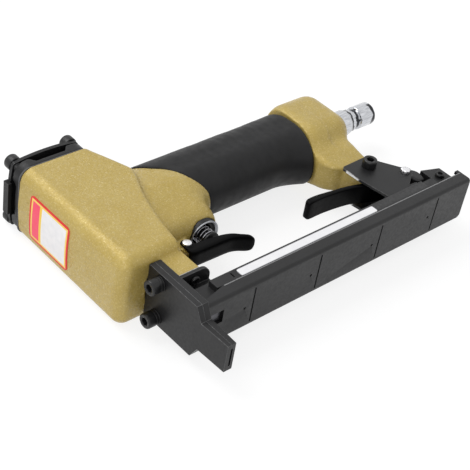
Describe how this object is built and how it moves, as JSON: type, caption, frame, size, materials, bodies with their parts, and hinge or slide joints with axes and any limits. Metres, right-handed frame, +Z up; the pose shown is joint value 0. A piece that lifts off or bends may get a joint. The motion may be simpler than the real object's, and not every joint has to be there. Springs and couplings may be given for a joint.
{
  "type": "pneumatic upholstery stapler",
  "caption": "Air-driven upholstery stapler lying on its side: cast head and handle, rubber grip, trigger, nose, sliding staple magazine with a latch lever, air plug.",
  "frame": {"origin": "end of the nose tip, on the line that the blade drives along, in the middle of the width", "axes": "+X to the rear along the handle and magazine, +Y from the nose tip to the cap, +Z up: the tool lies on one side of its head, with the other side up"},
  "size_m": [0.24, 0.1638, 0.044],
  "materials": {
    "gold_paint": "hammered gold paint",
    "black_steel": "satin black",
    "black_casting": "satin black",
    "black_screws": "black oxide",
    "black_rubber": "matte",
    "bare_steel": "bright",
    "bright_plug": "plated",
    "bare_aluminium": "machined",
    "nylon": "matte",
    "gasket_fibre": "matte",
    "label_film": "gloss film"
  },
  "bodies": {
    "body": {"housing": "gold_paint", "cap_gasket": "gasket_fibre", "cap_ring": "black_casting", "cap_plate": "black_casting", "cap_screws": "black_screws", "cylinder_sleeve": "bare_aluminium", "sleeve_o_rings": "black_rubber", "bumper": "black_rubber", "head_valve_spring": "bare_steel", "grip_sleeve": "black_rubber", "air_plug": "bright_plug", "plug_washer": "bare_aluminium", "inlet_screen": "bare_steel", "trigger_pin": "bare_steel", "valve_bushing": "bare_aluminium", "bushing_o_ring": "black_rubber", "valve_spring": "bare_steel", "nose_cover": "black_steel", "nose_guide": "black_steel", "nose_screws": "black_screws", "nose_washers": "black_screws", "front_bracket": "black_steel", "bracket_bolts": "black_screws", "magazine_guide": "black_casting", "rear_bracket": "black_steel", "bracket_screw": "black_screws", "bracket_nut": "black_screws", "guide_bolts": "black_screws", "latch_pin": "bare_steel", "latch_spring": "bare_steel", "front_label": "label_film", "magazine_label": "label_film"},
    "piston": {"piston": "bare_aluminium", "piston_o_ring": "black_rubber", "driver_blade": "bare_steel", "blade_pin": "bare_steel"},
    "head_valve": {"head_valve": "nylon", "head_valve_o_ring": "black_rubber"},
    "trigger": {"trigger": "black_steel"},
    "valve_stem": {"valve_stem": "bare_steel", "stem_o_ring": "black_rubber"},
    "magazine": {"magazine_channel": "black_steel", "staple_core": "bare_steel", "pusher_rod": "bare_steel", "pusher_spring": "bare_steel", "end_block": "black_steel", "end_block_screw": "black_screws"},
    "pusher": {"pusher": "bare_steel"},
    "latch": {"latch_lever": "black_steel"}
  },
  "joints": [
    {"name": "trigger_pull", "type": "hinge", "parent": "body", "child": "trigger", "pos_m": [0.031, 0.071, 0], "axis": [0, 0, 1], "range_deg": [0, 8], "stiffness_Nm_per_rad": 0.5, "springref_deg": -5.73},
    {"name": "valve_slide", "type": "slide", "parent": "body", "child": "valve_stem", "axis": [0, 1, 0], "range_m": [0, 0.0024], "deforming": ["valve_spring"]},
    {"name": "piston_stroke", "type": "slide", "parent": "body", "child": "piston", "axis": [0, -1, 0], "range_m": [0, 0.038]},
    {"name": "head_valve_lift", "type": "slide", "parent": "body", "child": "head_valve", "axis": [0, 1, 0], "range_m": [0, 0.0025], "stiffness_N_per_m": 500, "springref_m": -0.004, "deforming": ["head_valve_spring"]},
    {"name": "magazine_slide", "type": "slide", "parent": "body", "child": "magazine", "axis": [1, 0, 0], "range_m": [0, 0.11]},
    {"name": "pusher_slide", "type": "slide", "parent": "magazine", "child": "pusher", "axis": [1, 0, 0], "range_m": [0, 0.12], "stiffness_N_per_m": 30, "springref_m": -0.05, "deforming": ["pusher_spring"]},
    {"name": "latch_swing", "type": "hinge", "parent": "body", "child": "latch", "pos_m": [0.178, 0.051, 0], "axis": [0, 0, 1], "range_deg": [0, 12], "stiffness_Nm_per_rad": 0.5, "springref_deg": -8.59, "deforming": ["latch_spring"]}
  ],
  "couplings": [
    {"joint": "valve_slide", "follows": "trigger_pull", "m_per_rad": 0.017}
  ]
}
